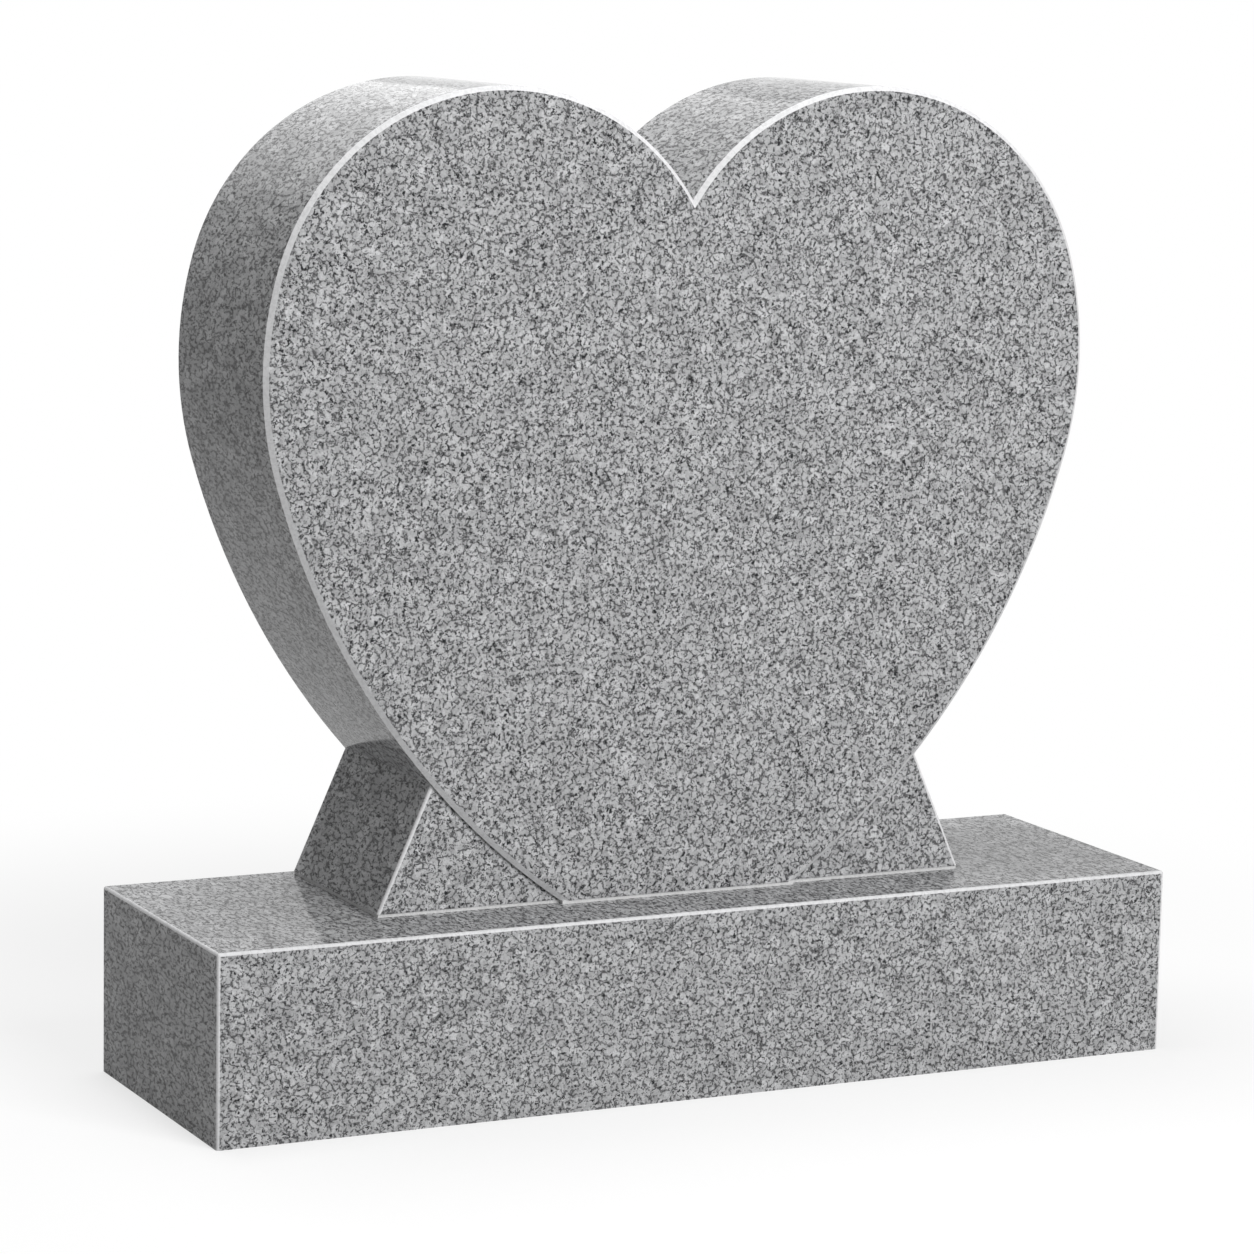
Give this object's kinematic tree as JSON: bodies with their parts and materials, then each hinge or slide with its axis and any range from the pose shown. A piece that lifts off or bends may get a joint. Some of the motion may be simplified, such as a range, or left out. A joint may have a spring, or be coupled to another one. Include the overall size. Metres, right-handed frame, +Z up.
{
  "type": "heart-shaped headstone",
  "caption": "Polished granite heart tablet with a splayed foot, bedded and dowelled on a rectangular granite base stone.",
  "frame": {"origin": "on the ground, under the middle of the base stone", "axes": "+Z up, -Y towards the polished front of the heart, +X to the viewer's right when facing the front"},
  "size_m": [0.914, 0.28, 0.869],
  "materials": {
    "base_granite": "polished grey granite",
    "tablet_granite": "polished grey granite",
    "setting_compound": "pale grey setting compound",
    "dowel_steel": "plain stainless bar",
    "setting_pad": "hard dark setting pad"
  },
  "bodies": {
    "root": {"base": "base_granite", "tablet": "tablet_granite", "joint_bed": "setting_compound", "dowel_left": "dowel_steel", "dowel_right": "dowel_steel", "pad_front_left": "setting_pad", "pad_front_right": "setting_pad", "pad_back_left": "setting_pad", "pad_back_right": "setting_pad"}
  },
  "joints": []
}
